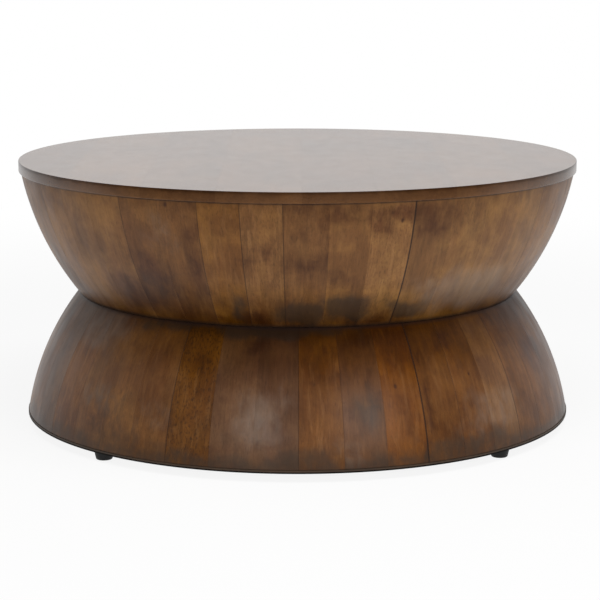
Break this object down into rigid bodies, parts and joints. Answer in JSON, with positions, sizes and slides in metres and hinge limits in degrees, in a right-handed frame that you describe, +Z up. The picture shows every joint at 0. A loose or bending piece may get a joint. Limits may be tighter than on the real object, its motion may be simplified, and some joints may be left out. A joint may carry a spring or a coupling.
{
  "type": "drum table",
  "caption": "Low round table in the form of an hourglass drum: coopered wooden bowls joined at a narrow waist, a flat top of boards and small black rubber feet.",
  "frame": {"origin": "on the floor, under the middle of the table", "axes": "+Z up, through the middle of the top; -Y to the front of the pictured view"},
  "size_m": [0.9139, 0.9138, 0.432],
  "materials": {
    "top_wood": "stained hardwood boards under a semi-gloss lacquer",
    "upper_wood": "mid-brown stained hardwood staves under a satin lacquer",
    "lower_wood": "darker reddish-brown stained hardwood staves under a satin lacquer",
    "plywood": "bare plywood",
    "cleat_wood": "bare sanded hardwood",
    "base_wood": "thin plywood panel with a dark brown stain",
    "zinc_steel": "bright zinc plating",
    "black_rubber": "matt moulded rubber"
  },
  "bodies": {
    "root": {"top_board_1": "top_wood", "top_board_2": "top_wood", "top_board_3": "top_wood", "top_board_4": "top_wood", "top_board_5": "top_wood", "top_board_6": "top_wood", "top_board_7": "top_wood", "top_board_8": "top_wood", "upper_staves_01": "upper_wood", "upper_staves_02": "upper_wood", "upper_staves_03": "upper_wood", "upper_staves_04": "upper_wood", "upper_staves_05": "upper_wood", "upper_staves_06": "upper_wood", "upper_staves_07": "upper_wood", "upper_staves_08": "upper_wood", "upper_staves_09": "upper_wood", "upper_staves_10": "upper_wood", "upper_staves_11": "upper_wood", "upper_staves_12": "upper_wood", "upper_staves_13": "upper_wood", "upper_staves_14": "upper_wood", "lower_staves_01": "lower_wood", "lower_staves_02": "lower_wood", "lower_staves_03": "lower_wood", "lower_staves_04": "lower_wood", "lower_staves_05": "lower_wood", "lower_staves_06": "lower_wood", "lower_staves_07": "lower_wood", "lower_staves_08": "lower_wood", "lower_staves_09": "lower_wood", "lower_staves_10": "lower_wood", "lower_staves_11": "lower_wood", "lower_staves_12": "lower_wood", "lower_staves_13": "lower_wood", "lower_staves_14": "lower_wood", "rim_ring": "plywood", "upper_waist_ring": "plywood", "lower_waist_ring": "plywood", "base_ring": "plywood", "front_cleat": "cleat_wood", "back_cleat": "cleat_wood", "base_panel": "base_wood", "foot_front_right": "black_rubber", "foot_back_right": "black_rubber", "foot_back_left": "black_rubber", "foot_front_left": "black_rubber", "waist_bolts": "zinc_steel", "waist_washers": "zinc_steel", "waist_nuts": "zinc_steel", "top_screws": "zinc_steel", "base_screws": "zinc_steel", "cleat_screws": "zinc_steel", "foot_washers": "zinc_steel", "foot_screws": "zinc_steel"}
  },
  "joints": []
}
